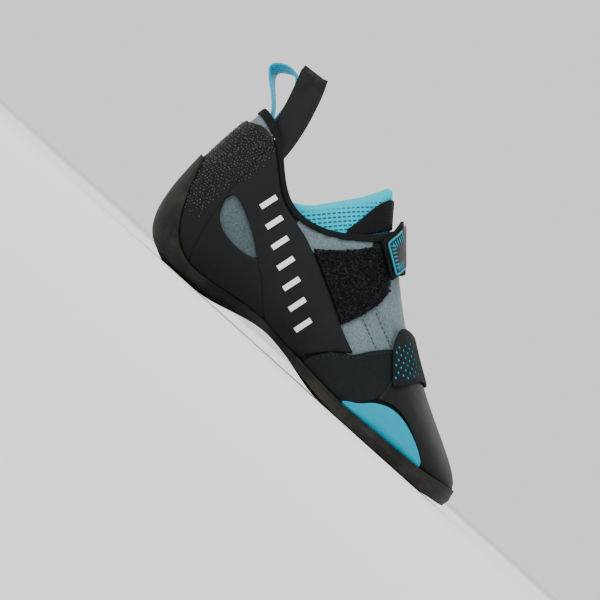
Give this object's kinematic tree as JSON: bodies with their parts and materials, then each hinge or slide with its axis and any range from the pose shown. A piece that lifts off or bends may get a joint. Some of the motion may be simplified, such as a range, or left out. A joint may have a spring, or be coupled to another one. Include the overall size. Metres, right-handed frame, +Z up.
{
  "type": "climbing shoe",
  "caption": "Right-foot climbing shoe with a hollow suede upper, rubber rands, heel cup, thin flat sole, padded tongue and hook-and-loop straps.",
  "frame": {"origin": "floor, under the middle of the shoe's box", "axes": "+X from heel to toe, +Y to the inner (big toe) side, +Z up from the floor"},
  "size_m": [0.2422, 0.0994, 0.1366],
  "materials": {
    "upper_suede": "napped, matt",
    "rand_rubber": "satin",
    "sole_rubber": "matt",
    "panel_black": "napped, matt",
    "panel_blue": "napped, matt",
    "tongue_mesh": "knitted spacer mesh",
    "binding_tape": "woven",
    "loop_tape_black": "woven",
    "loop_tape_blue": "woven",
    "strap_web": "woven",
    "strap_tab_rubber": "moulded, satin",
    "loop_pile": "looped pile",
    "insole_board": "matt"
  },
  "bodies": {
    "root": {"upper": "upper_suede", "outsole": "sole_rubber", "insole": "insole_board", "tongue": "tongue_mesh", "tongue_tab": "strap_web", "collar_binding": "binding_tape", "heel_rand": "rand_rubber", "toe_rand": "rand_rubber", "heel_side_rand_outer": "rand_rubber", "heel_side_rand_inner": "rand_rubber", "sling_band_outer": "rand_rubber", "sling_band_inner": "rand_rubber", "forefoot_panel_outer": "panel_black", "forefoot_panel_inner": "panel_black", "side_panel_outer": "panel_blue", "side_panel_inner": "panel_blue", "loop_patch": "loop_pile", "upper_strap": "strap_web", "upper_strap_tab": "strap_tab_rubber", "lower_strap": "strap_web", "pull_loop_side": "loop_tape_black", "pull_loop_heel": "loop_tape_blue"}
  },
  "joints": []
}
